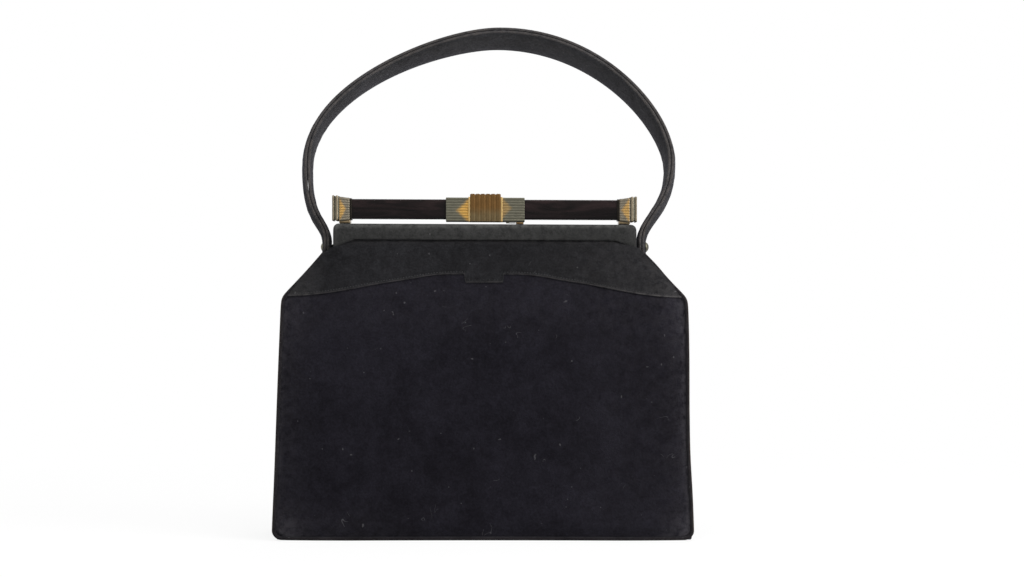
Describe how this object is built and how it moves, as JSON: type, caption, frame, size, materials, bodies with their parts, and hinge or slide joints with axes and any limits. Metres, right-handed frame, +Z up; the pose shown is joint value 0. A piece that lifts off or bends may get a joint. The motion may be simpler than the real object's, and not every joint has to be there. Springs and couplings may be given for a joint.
{
  "type": "frame handbag",
  "caption": "Suede frame handbag with lapped yokes, a hinged covered frame, a sliding clasp on a black bar and a padded strap handle that swings on rivets.",
  "frame": {"origin": "middle of the base on the surface that the bag stands on", "axes": "+Z up, the front with the keeper side of the frame faces -Y, +X to the viewer's right"},
  "size_m": [0.252, 0.1087, 0.3139],
  "materials": {
    "suede": "napped suede, matte",
    "worn_suede": "napped suede, rubbed",
    "board": "raw board",
    "lining_cloth": "ribbed cloth",
    "frame_steel": "satin",
    "dark_brass": "aged",
    "pewter": "aged, satin",
    "gilt": "polished",
    "black_bar": "gloss"
  },
  "bodies": {
    "bag": {"front_panel": "suede", "back_panel": "suede", "front_yoke": "suede", "back_yoke": "suede", "left_gusset": "suede", "right_gusset": "suede", "base_panel": "suede", "base_board": "board", "lining": "lining_cloth", "front_welt": "worn_suede", "back_welt": "worn_suede"},
    "front_frame": {"front_frame_channel": "frame_steel", "front_frame_cover": "worn_suede", "keeper": "dark_brass"},
    "back_frame": {"back_frame_channel": "frame_steel", "back_frame_cover": "worn_suede", "left_hinge_rivet": "frame_steel", "right_hinge_rivet": "frame_steel", "left_post": "dark_brass", "right_post": "dark_brass", "left_end_cap": "pewter", "right_end_cap": "pewter", "clasp_bar": "black_bar", "left_bar_collar": "black_bar", "right_bar_collar": "black_bar", "left_handle_rivet": "frame_steel", "right_handle_rivet": "frame_steel"},
    "clasp_slide": {"clasp_sleeve": "pewter", "thumb_block": "dark_brass", "left_thumb_plate": "gilt", "right_thumb_plate": "gilt"},
    "handle": {"handle_top": "worn_suede", "handle_underside": "worn_suede", "left_handle_tab": "worn_suede", "right_handle_tab": "worn_suede"}
  },
  "joints": [
    {"name": "front_open", "type": "hinge", "parent": "bag", "child": "front_frame", "pos_m": [0, 0, 0.126], "axis": [1, 0, 0], "range_deg": [0, 30], "deforming": ["front_yoke"]},
    {"name": "back_open", "type": "hinge", "parent": "bag", "child": "back_frame", "pos_m": [0, 0, 0.126], "axis": [-1, 0, 0], "range_deg": [0, 30], "deforming": ["back_yoke"]},
    {"name": "clasp_shift", "type": "slide", "parent": "back_frame", "child": "clasp_slide", "axis": [1, 0, 0], "range_m": [0, 0.004]},
    {"name": "handle_swing", "type": "hinge", "parent": "back_frame", "child": "handle", "pos_m": [0, 0, 0.1755], "axis": [-1, 0, 0], "range_deg": [-84, 36]}
  ]
}
